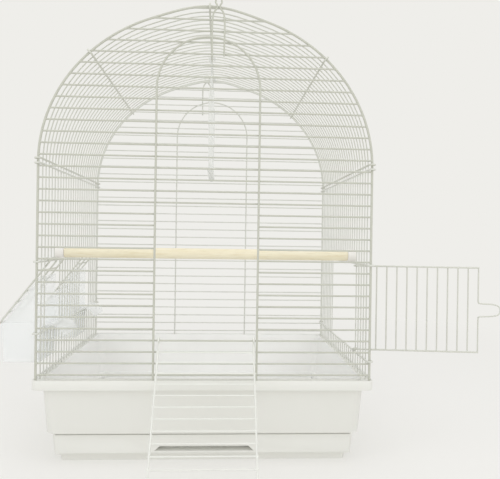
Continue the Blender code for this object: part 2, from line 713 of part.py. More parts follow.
def swing(frame_finish, bar_finish):
    """A hanging swing: two flat straps that hook over the roof's middle tie, and the bar between them."""
    hang_z = CROWN_Z - TIE_INSET
    near_y, far_y = hoop_y(SWING_FIRST_SPACE), hoop_y(SWING_LAST_SPACE)
    strap_top = -3 * SWING_HOOK
    hooks = []
    for y in (near_y, far_y):
        points = []
        for degrees in (-35, 0, 40, 80, 120, 160, 200):
            angle = math.radians(degrees)
            points.append((SWING_HOOK * math.cos(angle), y, SWING_HOOK * math.sin(angle)))
        points.append((0, y, -2.2 * SWING_HOOK))
        points.append((0, y, strap_top - SWING_WIRE))
        hooks.append((points, SWING_WIRE))
    spreader_z = strap_top - SWING_STRAP_TOP / 2
    spreader = ([(0, near_y, spreader_z), (0, far_y, spreader_z)], SWING_WIRE * 0.8)
    made = welded("swing_frame", [hooks], frame_finish, (0, 0, hang_z))
    outline = [
        (-SWING_STRAP_TOP / 2, strap_top),
        (SWING_STRAP_TOP / 2, strap_top),
        (SWING_STRAP_BOTTOM / 2, -SWING_DROP),
        (-SWING_STRAP_BOTTOM / 2, -SWING_DROP),
    ]
    for word, y in (("near", near_y), ("far", far_y)):
        half = SWING_STRAP_THICKNESS / 2
        strap = prism("strap", outline, 1, y - half, y + half)
        boolean(made, new_object(f"swing_strap_{word}", strap, None, (0, 0, hang_z)), "UNION")
    rod_helper = new_object("swing_spreader", wires("swing_spreader", [spreader]), None, (0, 0, hang_z))
    boolean(made, rod_helper, "UNION")
    length = far_y - near_y + 2 * SWING_BAR_OVERRUN
    bar_mesh = rod("swing_bar", [(-length / 2, SWING_BAR_RADIUS), (length / 2, SWING_BAR_RADIUS)], 12)
    across = Matrix.Rotation(math.pi / 2, 4, "Z")
    place_z = hang_z - SWING_DROP + SWING_BAR_RADIUS
    bar = new_object("swing_bar", bar_mesh, bar_finish, (0, (near_y + far_y) / 2, place_z), across)
    for word, y in (("near", near_y), ("far", far_y)):
        reach_x = SWING_STRAP_BOTTOM / 2 + 2 * FIT_GAP
        reach_y = SWING_STRAP_THICKNESS / 2 + FIT_GAP
        low = (-reach_x, y - reach_y, place_z - SWING_BAR_RADIUS - FIT_GAP)
        high = (reach_x, y + reach_y, place_z + 2 * SWING_BAR_RADIUS)
        boolean(bar, new_object(f"swing_bar_slot_{word}", block(word, low, high), None), "DIFFERENCE")
    smooth(bar)
    return made


def build():
    for old in list(bpy.data.objects):
        bpy.data.objects.remove(old)
    coated = material("powder coated wire", (0.70, 0.68, 0.58), 0.42)
    moulded = material("moulded base plastic", (0.80, 0.79, 0.74), 0.38)
    tray_white = material("moulded tray plastic", (0.80, 0.80, 0.76), 0.40)
    wood = material("bare perch wood", (0.84, 0.76, 0.52), 0.62)
    cap_white = material("soft perch cap plastic", (0.82, 0.80, 0.78), 0.50)
    clear = material("clear feeder plastic", (0.93, 0.95, 0.96), 0.08, alpha=0.35, transmission=0.9)
    milky = material("milky swing plastic", (0.90, 0.91, 0.92), 0.35)
    base_tub(moulded)
    pull_out_tray(tray_white)
    end_panel("front_panel", -1, coated, True)
    end_panel("back_panel", 1, coated, False)
    roof_panel(coated)
    windows = [(first, first + WINDOW_SPACES, WINDOW_SILL_Z) for first in WINDOW_FIRST_HOOPS]
    doorway = [(SIDE_DOOR_FIRST_HOOP, SIDE_DOOR_LAST_HOOP, DOOR_SILL_Z)]
    wall_panel("left_wall_panel", -1, coated, windows, [WINDOW_SILL_Z])
    wall_panel("right_wall_panel", 1, coated, doorway, [DOOR_SILL_Z])
    ramp_door(coated)
    side_door(coated)
    for word, first in zip(("front", "rear"), WINDOW_FIRST_HOOPS):
        feeder_flap(f"feeder_flap_{word}", first, coated)
        feeder(word, first, clear)
    perch(wood, cap_white)
    swing(milky, milky)


build()
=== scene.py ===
"""Looks of a wire bird cage on a moulded base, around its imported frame. Metres, +Z up, front towards -Y."""

import json
import math

import bmesh
import bpy
from mathutils import Matrix, Vector


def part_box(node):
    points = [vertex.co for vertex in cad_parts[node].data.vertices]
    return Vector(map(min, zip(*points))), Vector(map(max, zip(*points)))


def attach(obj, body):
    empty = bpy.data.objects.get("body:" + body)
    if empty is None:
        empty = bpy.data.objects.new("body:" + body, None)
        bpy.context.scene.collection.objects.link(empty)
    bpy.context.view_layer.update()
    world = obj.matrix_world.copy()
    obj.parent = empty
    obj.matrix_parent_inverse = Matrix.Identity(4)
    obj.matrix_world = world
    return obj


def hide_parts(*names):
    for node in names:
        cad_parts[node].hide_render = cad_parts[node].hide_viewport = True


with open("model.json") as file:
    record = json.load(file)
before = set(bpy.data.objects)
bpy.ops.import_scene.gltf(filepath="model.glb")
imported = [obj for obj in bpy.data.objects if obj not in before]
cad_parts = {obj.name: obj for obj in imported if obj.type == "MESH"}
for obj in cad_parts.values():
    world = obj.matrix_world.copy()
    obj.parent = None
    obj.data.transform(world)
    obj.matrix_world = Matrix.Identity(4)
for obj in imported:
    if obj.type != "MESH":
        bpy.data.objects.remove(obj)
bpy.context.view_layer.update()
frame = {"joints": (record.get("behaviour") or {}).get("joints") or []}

joints = {joint["name"]: joint for joint in frame["joints"]}

# Wire grid, as on the frame: hoops run over the roof, bars across the front and the back
HOOP_PITCH = 0.0112
HOOP_SPACES = 25
BAR_PITCH = 0.0117
BAR_COUNT = 34
ARCH_RISE = 0.1570
CROWN_LIFT = 0.0042
CROWN_HALF = 0.060
FIRST_BAR_DEPTH = 0.0067
LEG_PAST_BAR = 0.0012

# Wire thickness, as radii, with the weld beads where wires cross
FRAME_WIRE = 0.0013
INNER_WIRE = 0.0011
BACK_INNER_WIRE = 0.0009
TIE_WIRE = 0.00105
HINGE_WIRE = 0.00097
BAR_WIRE = 0.0009
BACK_BAR_WIRE = 0.00076
HOOP_WIRE = 0.00068
DOOR_WIRE = 0.00078
BEAD = 0.0009
FRAME_BEAD = 0.00125
LEAF_BEAD = 0.00112

# How far beads, ties and hoops sit inside the frame wires
FRAME_BEAD_INSET = 0.00104
TIE_INSET = 0.0028
HOOP_INSET = 0.0012

# Welded wires are pressed into each other, to this share of their two radii
WELD_SPACING = 0.7

# The frame's boxes give the grid its place
HALF_DEPTH = HOOP_PITCH * HOOP_SPACES / 2
HALF_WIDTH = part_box("roof_panel")[1].x - TIE_INSET - TIE_WIRE
RIM_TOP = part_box("base_tub")[1].z
FIRST_BAR_Z = RIM_TOP - FIRST_BAR_DEPTH
LEG_FOOT_Z = FIRST_BAR_Z - LEG_PAST_BAR
WALL_X = HALF_WIDTH - HOOP_INSET
TIE_X = HALF_WIDTH - TIE_INSET

# Heights of ties and of the arch's foot: a bar, and the distance above it (below it where negative)
WALL_FOOT = (0, 0.0029)
DOOR_SILL = (2, 0.0025)
WINDOW_SILL = (5, -0.0053)
LINTEL = (11, -0.0032)
WALL_HEAD = (19, 0.0027)
SPRING = (19, 0.0044)
ROOF_EDGE = (19, 0.0077)

# Places of the roof's ties round the arch, in degrees
ROOF_TIE_ANGLES = (0, 45, 90, 135, 180)

# Front and back panels
INNER_ARCH_HALF = 0.0526
INNER_ARCH_TOP_BAR = 30.45
DOOR_FIRST_BAR = 4
DOOR_LAST_BAR = 16
EYE_OFFSET = 0.009
EYE_STAND_OFF = 0.00144
EYE_LEG_SPREAD = 0.006
EYE_LEG_BARS = 4.2
# Half of the eye's loop: distance out from its middle, and height over the crown
EYE_LOOP = ((0.00135, -0.0013), (0.0032, 0.004275), (0.00192, 0.00855), (0, 0.0095))

# Hinged leaves
HINGE_EYE = 0.0026
TAB_LENGTH = 0.0240
# Half of a thumb tab: distance out from its middle, and distance down from the last cross wire
TAB_HALF = ((0.0118, 0), (0.008425, 0.000675), (0.0073, 0.0027), (0.00657, 0.0156), (0.0045, 0.02232))
CROSS_WIRE_OVERRUN = 0.0017
RAMP_WIDTH = 0.0968
RAMP_FIRST_WIRE = 0.0118
RAMP_PITCH = 0.0115
RAMP_SPACES = 11
SIDE_DOOR_HOOPS = (5, 17)
SIDE_DOOR_SILL_GAP = 0.00045
SIDE_DOOR_LINTEL_GAP = 0.0009
WINDOW_FIRST_HOOPS = (2, 15)
WINDOW_SPACES = 5
FLAP_WIDTH = 0.0516
FLAP_FIRST_WIRE = 0.0108
FLAP_PITCH = 0.0141
FLAP_SPACES = 5
FLAP_SWING = math.radians(38)

# Feeders, with distances out from the wall's wires
FEEDER_WIDTH = 0.0535
FEEDER_WALL = 0.0013
FEEDER_BACK = 0.0042
FEEDER_ROUNDING = 0.0022
CUP_DROP = 0.0345
CUP_RISE = 0.0070
CUP_REACH = 0.0422
FLAP_REST_GAP = 0.0006
HOOD_START = 0.0060
SEAM_GAP = 0.0003
LIP_RADIUS = 0.0150
LIP_CENTRE_IN = 0.0050
LIP_CENTRE_DROP = 0.0102
LIP_END_DEGREES = 165

# Base, from the floor up
FOOT_HEIGHT = 0.0078
LOWER_BOX_TOP = 0.032
RIM_UNDERSIDE = 0.079
MOULDING_WALL = 0.0020
RIM_OVERHANG = 0.0040
TUB_INSETS = (0.0075, 0.0040)
LOWER_BOX_INSETS = (0.0150, 0.0130)
FOOT_INSET = 0.0200
GROOVE_INSET = 0.0050
GROOVE_LIP = 0.0012
GROOVE_DEPTH = 0.0016
RIM_CORNER = 0.0065
TUB_CORNER = 0.010
LOWER_BOX_CORNER = 0.004
MOULDED_EDGE = 0.0006

# Pull-out tray
SLOT_MARGIN = 0.0030
TRAY_PLAY = 0.0003
TRAY_WALL = 0.0018
TRAY_TOP_GAP = 0.0040
TRAY_TOP_Z = LOWER_BOX_TOP - TRAY_TOP_GAP
TRAY_FACE = 0.0035
TRAY_FACE_TOP_GAP = 0.0028
TRAY_FACE_PROUD = 0.0006
TRAY_REAR_PLAY = 0.0020
TRAY_EDGE = 0.00042
GRIP_WIDTHS = (0.104, 0.092)
GRIP_HEIGHT = 0.0052
GRIP_DEPTH = 0.012

# Perch and swing
PERCH_RADIUS = 0.0060
PERCH_EDGE = 0.00045
CAP_RADIUS = 0.0068
CAP_LENGTH = 0.0100
CAP_PAST_WIRE = 0.0016
CAP_SLOT = 0.0027
CAP_SLOT_DEPTH = 0.0032
CAP_ROUNDING = 0.0009
SWING_SPACES = (14.5, 23.5)
SWING_WIRE = 0.0015
SWING_SPREADER_WIRE = 0.0012
SWING_HOOK = 0.0034
# The hook's bend below its curl, as places in X and Z from the tie that it hangs on
SWING_HOOK_BEND = ((-0.00102, -0.00442), (0, -0.00748))
SWING_DROP = 0.1497
SWING_NECK = 0.0026
SWING_NECK_START = 0.0102
SWING_NECK_END = 0.0370
SWING_SHOULDER_END = 0.0440
SWING_STRAP_TOP = 0.0078
SWING_STRAP_BOTTOM = 0.0056
SWING_STRAP_THICKNESS = 0.0026
SWING_STRAP_ROUNDING = 0.00078
SWING_BAR_RADIUS = 0.0042
SWING_BAR_EDGE = 0.00147
SWING_BAR_OVERRUN = 0.006

# How far round each curl goes, as the degrees of its two ends
TIE_CURL = (215, 0)
HINGE_CURL = (225, 0)
SWING_CURL = (-35, 205)

# How finely curves are drawn, and how close points have to be to count as one
ARCH_STEPS = 72
HOOP_STEPS = 56
INNER_ARCH_STEPS = 32
TIE_CURL_STEPS = 14
HINGE_CURL_STEPS = 15
SWING_CURL_STEPS = 20
LIP_STEPS = 18
CORNER_STEPS = 8
CAP_CORNER_STEPS = 4
PERCH_STEPS = 40
SWING_BAR_STEPS = 32
WIRE_ROUNDNESS = 2
HALVINGS = 24
SAME_PLACE = 1e-7

# The camera that the photograph was taken from, solved from the wire grid
CAMERA_PLACE = (0.01284, -0.7218, 0.2347)
CAMERA_YAW = math.radians(3.085)
CAMERA_PITCH = math.radians(0.155)
CAMERA_ROLL = math.radians(0.807)
LENS_MM = 40.923
SENSOR_MM = 36

# Soft lights: name, place, what each is aimed at, its side in metres and its watts
LIGHTS = (
    ("overhead", (0.0, -0.1, 1.5), (0, 0, 0.1), 1.6, 6.5),
    ("front_softbox", (0.0, -2.3, 0.4), (0, 0, 0.15), 2.0, 10.0),
    ("left_softbox", (-1.3, -1.0, 0.9), (0, 0, 0.2), 1.0, 3.8),
    ("right_softbox", (1.3, -1.0, 0.9), (0, 0, 0.2), 1.0, 3.7),
)
FILL_STRENGTH = 0.67


def bar_z(index):
    """Height of a front or back bar, counted from the one in the rim."""
    return FIRST_BAR_Z + BAR_PITCH * index


def hoop_y(index):
    """Distance along the cage of a hoop, counted from the front panel."""
    return HOOP_PITCH * index - HALF_DEPTH


def height(place):
    """Height of a place that is given as a bar and the distance above it."""
    bar, above = place
    return bar_z(bar) + above


WALL_FOOT_Z = height(WALL_FOOT)
DOOR_SILL_Z = height(DOOR_SILL)
WINDOW_SILL_Z = height(WINDOW_SILL)
LINTEL_Z = height(LINTEL)
WALL_HEAD_Z = height(WALL_HEAD)
SPRING_Z = height(SPRING)
ROOF_EDGE_Z = height(ROOF_EDGE)
CROWN_Z = SPRING_Z + ARCH_RISE + CROWN_LIFT


def linear(code):
    """A hex sRGB colour as linear RGBA."""
    shares = [int(code[n : n + 2], 16) / 255 for n in (1, 3, 5)]
    return [s / 12.92 if s <= 0.04045 else ((s + 0.055) / 1.055) ** 2.4 for s in shares] + [1.0]


def add(tree, kind, inputs=None, **settings):
    """Adds one node. Each input is a value, or the output socket of another node."""
    node = tree.nodes.new(kind)
    for name, value in settings.items():
        setattr(node, name, value)
    for name, value in (inputs or {}).items():
        if isinstance(value, bpy.types.NodeSocket):
            tree.links.new(value, node.inputs[name])
        else:
            node.inputs[name].default_value = value
    return node


def bare_material(name):
    """A material with nothing but its output node."""
    made = bpy.data.materials.new(name)
    made.use_nodes = True
    made.node_tree.nodes.clear()
    return made, made.node_tree, made.node_tree.nodes.new("ShaderNodeOutputMaterial")


def surface(name, light, dark, patch_mm, grain_mm, depth_mm, roughness, stretch=(1, 1, 1), **fixed):
    """A solid finish: two close colours in soft patches, a fine grain in its bump, and uneven roughness."""
    made, tree, out = bare_material(name)
    place = add(tree, "ShaderNodeTexCoord").outputs["Object"]
    spread = add(tree, "ShaderNodeMapping", {"Vector": place, "Scale": stretch}).outputs["Vector"]
    patches = add(tree, "ShaderNodeTexNoise", {"Vector": spread, "Scale": 1000 / patch_mm, "Detail": 4.0})
    colour = add(tree, "ShaderNodeMix", {
        "Factor": patches.outputs["Fac"], "A": linear(light), "B": linear(dark),
    }, data_type="RGBA")
    grain = add(tree, "ShaderNodeTexNoise", {"Vector": spread, "Scale": 1000 / grain_mm, "Detail": 2.0})
    bump = add(tree, "ShaderNodeBump", {"Height": grain.outputs["Fac"], "Distance": depth_mm / 1000})
    gloss = add(tree, "ShaderNodeMapRange", {
        "Value": patches.outputs["Fac"], "To Min": roughness[0], "To Max": roughness[1],
    })
    shader = add(tree, "ShaderNodeBsdfPrincipled", {
        "Base Color": colour.outputs["Result"], "Roughness": gloss.outputs["Result"],
        "Normal": bump.outputs["Normal"],
    })
    for word, value in fixed.items():
        shader.inputs[word].default_value = value
    tree.links.new(shader.outputs["BSDF"], out.inputs["Surface"])
    return made


def powder_coat(name, light, dark, roughness):
    """Powder-coated steel wire: a thick warm off-white skin, satin, with faint orange peel."""
    return surface(
        name, light, dark, patch_mm=28, grain_mm=0.9, depth_mm=0.03, roughness=roughness, IOR=1.5,
    )


def polystyrene(name, roughness, alpha):
    """Clear polystyrene, thin and a little hazy, so that each wall shows as a faint pale film."""
    return surface(
        name, "#F8F9F9", "#F2F4F4", patch_mm=40, grain_mm=12, depth_mm=0.004, roughness=roughness,
        IOR=1.59, Alpha=alpha,
    )


def grained_wood(name):
    """Sanded ramin: a pale, straight-grained dowel wood, bare and matt. Its grain runs along X."""
    made, tree, out = bare_material(name)
    place = add(tree, "ShaderNodeTexCoord").outputs["Object"]
    along = add(tree, "ShaderNodeMapping", {"Vector": place, "Scale": (0.05, 1, 1)}).outputs["Vector"]
    broad = add(tree, "ShaderNodeTexNoise", {"Vector": along, "Scale": 1000 / 6, "Detail": 3.0})
    fine = add(tree, "ShaderNodeTexNoise", {"Vector": along, "Scale": 1000 / 0.9, "Detail": 4.0})
    ground = add(tree, "ShaderNodeMix", {
        "Factor": broad.outputs["Fac"], "A": linear("#F8F2DE"), "B": linear("#EFE4C3"),
    }, data_type="RGBA")
    lines = add(tree, "ShaderNodeMapRange", {
        "Value": fine.outputs["Fac"], "From Min": 0.52, "From Max": 0.72, "To Max": 0.45,
    })
    colour = add(tree, "ShaderNodeMix", {
        "Factor": lines.outputs["Result"], "A": ground.outputs["Result"], "B": linear("#D6C295"),
    }, data_type="RGBA")
    bump = add(tree, "ShaderNodeBump", {
        "Height": fine.outputs["Fac"], "Distance": 0.00008, "Strength": 0.6,
    })
    shader = add(tree, "ShaderNodeBsdfPrincipled", {
        "Base Color": colour.outputs["Result"], "Roughness": 0.62, "Normal": bump.outputs["Normal"],
    })
    tree.links.new(shader.outputs["BSDF"], out.inputs["Surface"])
    return made


def ellipse(centre, radii, start, end, steps):
    """Points on an ellipse, as pairs, between two angles in degrees."""
    angles = [math.radians(start + (end - start) * n / steps) for n in range(steps + 1)]
    return [(centre[0] + radii[0] * math.cos(a), centre[1] + radii[1] * math.sin(a)) for a in angles]


def eased(points, steps=6):
    """A smooth curve through a few points, each stretch a cubic between its neighbours."""
    ends = [points[0], *points, points[-1]]
    made = []
    for four in zip(ends, ends[1:], ends[2:], ends[3:]):
        for n in range(steps):
            t = n / steps
            weights = (
                2 * t**2 - t - t**3,
                2 - 5 * t**2 + 3 * t**3,
                t + 4 * t**2 - 3 * t**3,
                t**3 - t**2,
            )
            made.append(tuple(
                sum(weight * value for weight, value in zip(weights, values)) / 2 for values in zip(*four)
            ))
    return made + [points[-1]]


def moved_vertices(geometry):
    """The vertices among what an extrusion returns."""
    return [part for part in geometry if isinstance(part, bmesh.types.BMVert)]


def piece_from(bm, name):
    """The finished bmesh as an object at the origin, its faces pointing outwards."""
    bmesh.ops.remove_doubles(bm, verts=bm.verts, dist=SAME_PLACE)
    bmesh.ops.recalc_face_normals(bm, faces=bm.faces)
    mesh = bpy.data.meshes.new(name)
    bm.to_mesh(mesh)
    bm.free()
    made = bpy.data.objects.new(name, mesh)
    bpy.context.scene.collection.objects.link(made)
    return made


def modifier(piece, kind, **settings):
    """Adds one modifier with its settings."""
    made = piece.modifiers.new(kind.lower(), kind)
    for name, value in settings.items():
        setattr(made, name, value)


def settle(piece):
    """Makes the modifiers' result the piece's own mesh."""
    graph = bpy.context.evaluated_depsgraph_get()
    result = bpy.data.meshes.new_from_object(piece.evaluated_get(graph))
    piece.modifiers.clear()
    piece.data = result


def shade(piece, degrees):
    """Shades the piece smoothly, apart from edges that turn by more than this."""
    piece.data.shade_smooth()
    piece.data.set_sharp_from_angle(angle=math.radians(degrees))


def combine(piece, tool, operation):
    """Joins a second shape to the piece or cuts it away."""
    modifier(piece, "BOOLEAN", object=tool, operation=operation, solver="EXACT")
    settle(piece)
    bpy.data.objects.remove(tool)


def soften(piece, width, degrees=35, segments=2):
    """Rounds the moulded edges and shades the piece smoothly."""
    limit = math.radians(degrees)
    modifier(piece, "BEVEL", width=width, segments=segments, limit_method="ANGLE", angle_limit=limit)
    settle(piece)
    shade(piece, degrees)


def dressed(piece, finish, body, slot, *nodes):
    """Gives the piece its material and its body, and hides the frame nodes that it stands for. Its slot is
    not used.
    """
    piece.data.materials.clear()
    piece.data.materials.append(finish)
    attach(piece, body)
    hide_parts(*nodes)
    return piece


def second_finish(piece, finish, chosen):
    """Gives another finish to the faces that the test picks out."""
    piece.data.materials.append(finish)
    for face in piece.data.polygons:
        face.material_index = int(chosen(face))


def wirework(name, runs, beads, turn=None):
    """Round wires, each given as its points and its radius, with a bead of weld where two of them meet."""
    curve = bpy.data.curves.new(name, "CURVE")
    curve.dimensions = "3D"
    curve.bevel_depth = 1.0
    curve.bevel_resolution = WIRE_ROUNDNESS
    curve.use_fill_caps = True
    for points, radius in runs:
        spline = curve.splines.new("POLY")
        spline.points.add(len(points) - 1)
        for slot, point in zip(spline.points, points):
            slot.co = (*point, 1.0)
            slot.radius = radius
    holder = bpy.data.objects.new(name, curve)
    bpy.context.scene.collection.objects.link(holder)
    graph = bpy.context.evaluated_depsgraph_get()
    swept = bpy.data.meshes.new_from_object(holder.evaluated_get(graph))
    bpy.data.objects.remove(holder)
    bm = bmesh.new()
    bm.from_mesh(swept)
    for place, radius in beads:
        bmesh.ops.create_icosphere(bm, subdivisions=1, radius=radius, matrix=Matrix.Translation(place))
    made = piece_from(bm, name)
    if turn is not None:
        made.data.transform(turn)
    shade(made, degrees=60)
    return made


def prism(name, outline, axis, low, high):
    """An outline in the other two axes, drawn out along the given axis."""
    bm = bmesh.new()
    others = [n for n in range(3) if n != axis]
    ring = []
    for point in outline:
        place = [0.0, 0.0, 0.0]
        place[axis] = low
        place[others[0]], place[others[1]] = point
        ring.append(bm.verts.new(place))
    edges = [bm.edges.new(pair) for pair in zip(ring, ring[1:] + ring[:1])]
    face = bmesh.ops.contextual_create(bm, geom=edges)["faces"]
    grown = bmesh.ops.extrude_face_region(bm, geom=face)["geom"]
    step = [0.0, 0.0, 0.0]
    step[axis] = high - low
    bmesh.ops.translate(bm, verts=moved_vertices(grown), vec=step)
    return piece_from(bm, name)


def block(name, low, high):
    """A rectangular block between two corners."""
    outline = ((low[0], low[1]), (high[0], low[1]), (high[0], high[1]), (low[0], high[1]))
    return prism(name, outline, 2, low[2], high[2])


def turned(name, profile, steps, turn):
    """A turned piece: (x, radius) pairs spun about X, then put in place."""
    bm = bmesh.new()
    points = [bm.verts.new((x, 0, radius)) for x, radius in profile]
    edges = [bm.edges.new(pair) for pair in zip(points, points[1:])]
    bmesh.ops.spin(
        bm, geom=points + edges, cent=(0, 0, 0), axis=(1, 0, 0),
        angle=2 * math.pi, steps=steps, use_merge=True,
    )
    made = piece_from(bm, name)
    made.data.transform(turn)
    shade(made, degrees=35)
    return made


def rod_profile(half, radius, edge):
    """A round bar from end to end, as (x, radius) pairs, with its two edges broken."""
    first = [(-half, 0), (-half, radius - edge), (-half + edge, radius)]
    return first + [(-x, r) for x, r in reversed(first)]


def crown_lift(x):
    """How far the arch is drawn up over its middle, where the cage hangs from its eyes."""
    share = min(1.0, abs(x) / CROWN_HALF)
    return CROWN_LIFT * math.cos(math.pi / 2 * share) ** 2


def arch(y, inset, foot_z, steps):
    """An arched wire: up the left, over the top and down the right."""
    half, rise = HALF_WIDTH - inset, ARCH_RISE - inset
    top = [(x, y, z + crown_lift(x)) for x, z in ellipse((0, SPRING_Z), (half, rise), 180, 0, steps)]
    return [(-half, y, foot_z), *top, (half, y, foot_z)]


def half_width_at(z):
    """Where a bar at this height meets the frame wire, found by halving."""
    if z <= SPRING_Z:
        return HALF_WIDTH
    low, high = 0.0, HALF_WIDTH
    for _ in range(HALVINGS):
        middle = (low + high) / 2
        over = SPRING_Z + ARCH_RISE * math.sqrt(1 - (middle / HALF_WIDTH) ** 2) + crown_lift(middle)
        low, high = (middle, high) if over > z else (low, middle)
    return low


def tie(at, outward, hooked=True):
    """A wire from front to back inside the frame wires, its ends curled over both of them."""
    normal = Vector((outward[0], 0, outward[1])).normalized()
    centre = Vector((at[0], 0, at[1]))
    if not hooked:
        inside = centre - normal * TIE_INSET
        end = HALF_DEPTH - TIE_INSET
        return ([(inside.x, -end, inside.z), (inside.x, end, inside.z)], TIE_WIRE)
    curl = ellipse((0, 0), (TIE_INSET, TIE_INSET), *TIE_CURL, TIE_CURL_STEPS)
    front = [centre - normal * across + Vector((0, -along - HALF_DEPTH, 0)) for across, along in curl]
    back = [Vector((p.x, -p.y, p.z)) for p in reversed(front)]
    return ([tuple(p) for p in front + back], TIE_WIRE)


def hanging_eye(y, side):
    """The loop over the crown that the cage can hang by, its two legs welded to the top bars."""
    x = -side * EYE_OFFSET
    eye_y = y + side * EYE_STAND_OFF
    half = [
        (EYE_LEG_SPREAD, bar_z(BAR_COUNT - 1 - EYE_LEG_BARS)),
        (EYE_LEG_SPREAD, CROWN_Z - BAR_PITCH),
        *((out, CROWN_Z + over) for out, over in EYE_LOOP),
    ]
    left = [(x - out, eye_y, z) for out, z in half]
    right = [(x + out, eye_y, z) for out, z in reversed(half[:-1])]
    return (eased(left + right), BAR_WIRE)


def end_panel(name, side, doorway):
    """The front or back: an arched frame wire, its bars, an inner arch, a hanging eye and their welds."""
    bar_wire = BAR_WIRE if doorway else BACK_BAR_WIRE
    inner_wire = INNER_WIRE if doorway else BACK_INNER_WIRE
    y = side * HALF_DEPTH
    inner_y = y + side * (bar_wire + inner_wire) * WELD_SPACING
    weld_y = (y + inner_y) / 2
    half = INNER_ARCH_HALF
    crown = bar_z(INNER_ARCH_TOP_BAR) - half
    round_top = [(x, inner_y, z) for x, z in ellipse((0, crown), (half, half), 180, 0, INNER_ARCH_STEPS)]
    runs = [
        (arch(y, 0, LEG_FOOT_Z, ARCH_STEPS), FRAME_WIRE),
        ([(-half, inner_y, LEG_FOOT_Z), *round_top, (half, inner_y, LEG_FOOT_Z)], inner_wire),
    ]
    beads = []
    for index in range(BAR_COUNT):
        z = bar_z(index)
        reach = half_width_at(z)
        if doorway and DOOR_FIRST_BAR < index < DOOR_LAST_BAR:
            runs.append(([(-reach, y, z), (-half, y, z)], bar_wire))
            runs.append(([(half, y, z), (reach, y, z)], bar_wire))
        else:
            runs.append(([(-reach, y, z), (reach, y, z)], bar_wire))
        over = z - crown
        across = math.sqrt(max(0.0, half**2 - max(0.0, over) ** 2))
        for sign in (-1, 1):
            beads.append(((sign * (reach - FRAME_BEAD_INSET), y, z), FRAME_BEAD))
            if over < half:
                beads.append(((sign * across, weld_y, z), BEAD))
    runs.append(hanging_eye(y, side))
    return wirework(name, runs, beads)


def roof_hoops():
    """The hoops over the top, welded to five ties on their inner side."""
    inner_hoops = range(1, HOOP_SPACES)
    runs = [(arch(hoop_y(n), HOOP_INSET, ROOF_EDGE_Z, HOOP_STEPS), HOOP_WIRE) for n in inner_hoops]
    beads = []
    inset = (HOOP_INSET + TIE_INSET) / 2
    for degrees in ROOF_TIE_ANGLES:
        angle = math.radians(degrees)
        x = HALF_WIDTH * math.cos(angle)
        z = SPRING_Z + ARCH_RISE * math.sin(angle) + crown_lift(x)
        outward = Vector((ARCH_RISE * math.cos(angle), HALF_WIDTH * math.sin(angle))).normalized()
        if degrees in (ROOF_TIE_ANGLES[0], ROOF_TIE_ANGLES[-1]):
            z = ROOF_EDGE_Z
        runs.append(tie((x, z), outward))
        beads += [((x - outward.x * inset, hoop_y(n), z - outward.y * inset), BEAD) for n in inner_hoops]
    return wirework("roof_hoops", runs, beads)


def wall_wires(name, side, openings, sills):
    """A side wall: uprights welded to the ties. In an opening they stop at its sill and its lintel."""
    x = side * WALL_X
    runs, beads = [], []
    for index in range(1, HOOP_SPACES):
        y = hoop_y(index)
        within = [sill for first, last, sill in openings if first < index < last]
        heights = [WALL_FOOT_Z, LINTEL_Z, WALL_HEAD_Z]
        if within:
            runs.append(([(x, y, WALL_FOOT_Z), (x, y, within[0])], HOOP_WIRE))
            runs.append(([(x, y, LINTEL_Z), (x, y, WALL_HEAD_Z)], HOOP_WIRE))
            heights.append(within[0])
        else:
            runs.append(([(x, y, WALL_FOOT_Z), (x, y, WALL_HEAD_Z)], HOOP_WIRE))
            heights += sills
        beads += [((side * (WALL_X + TIE_X) / 2, y, z), BEAD) for z in heights]
    runs += [tie((side * HALF_WIDTH, z), (side, 0)) for z in (*sills, LINTEL_Z, WALL_HEAD_Z)]
    runs.append(tie((side * HALF_WIDTH, WALL_FOOT_Z), (side, 0), hooked=False))
    return wirework(name, runs, beads)


def tab_outline(half, reach):
    """The last cross wire from end to end, drawn out into a thumb tab, as (x, distance down) pairs."""
    left = [(-half, reach), *((-out, reach + down) for out, down in TAB_HALF)]
    return left + [(0, reach + TAB_LENGTH)] + [(-x, down) for x, down in reversed(left)]


def leaf(name, rails_at, overrun, positions, side, turn, tab):
    """A hinged grille, drawn hanging from its hinge wire: eyed rails, cross wires and, on doors, a tab."""
    reach = positions[-1]
    y = side * HINGE_EYE
    half = rails_at[-1] + overrun
    eye = ellipse((0, 0), (HINGE_EYE, HINGE_EYE), *HINGE_CURL, HINGE_CURL_STEPS)
    runs, beads = [], []
    for x in rails_at:
        curl = [(x, side * across, up) for across, up in eye]
        runs.append((curl + [(x, y, -reach)], HINGE_WIRE))
        beads += [((x, y, -p), LEAF_BEAD) for p in positions]
    runs += [([(-half, y, -p), (half, y, -p)], DOOR_WIRE) for p in positions[:-1]]
    if tab:
        last = eased([(x, y, -down) for x, down in tab_outline(half, reach)], steps=4)
    else:
        last = [(-half, y, -reach), (half, y, -reach)]
    runs.append((last, DOOR_WIRE))
    return wirework(name, runs, beads, turn)


def ramp_grille():
    """The front door, let down until its tab's tip stands on the floor."""
    positions = [RAMP_FIRST_WIRE + RAMP_PITCH * n for n in range(RAMP_SPACES + 1)]
    pivot = Vector(joints["ramp_hinge"]["pos_m"])
    reach = positions[-1] + TAB_LENGTH
    angle = math.acos((pivot.z - BAR_WIRE) / math.hypot(reach, HINGE_EYE)) + math.atan(HINGE_EYE / reach)
    turn = Matrix.Translation(pivot) @ Matrix.Rotation(-angle, 4, "X")
    rails_at = (-RAMP_WIDTH / 2, RAMP_WIDTH / 2)
    return leaf("ramp_grille", rails_at, CROSS_WIRE_OVERRUN, positions, 1, turn, True)


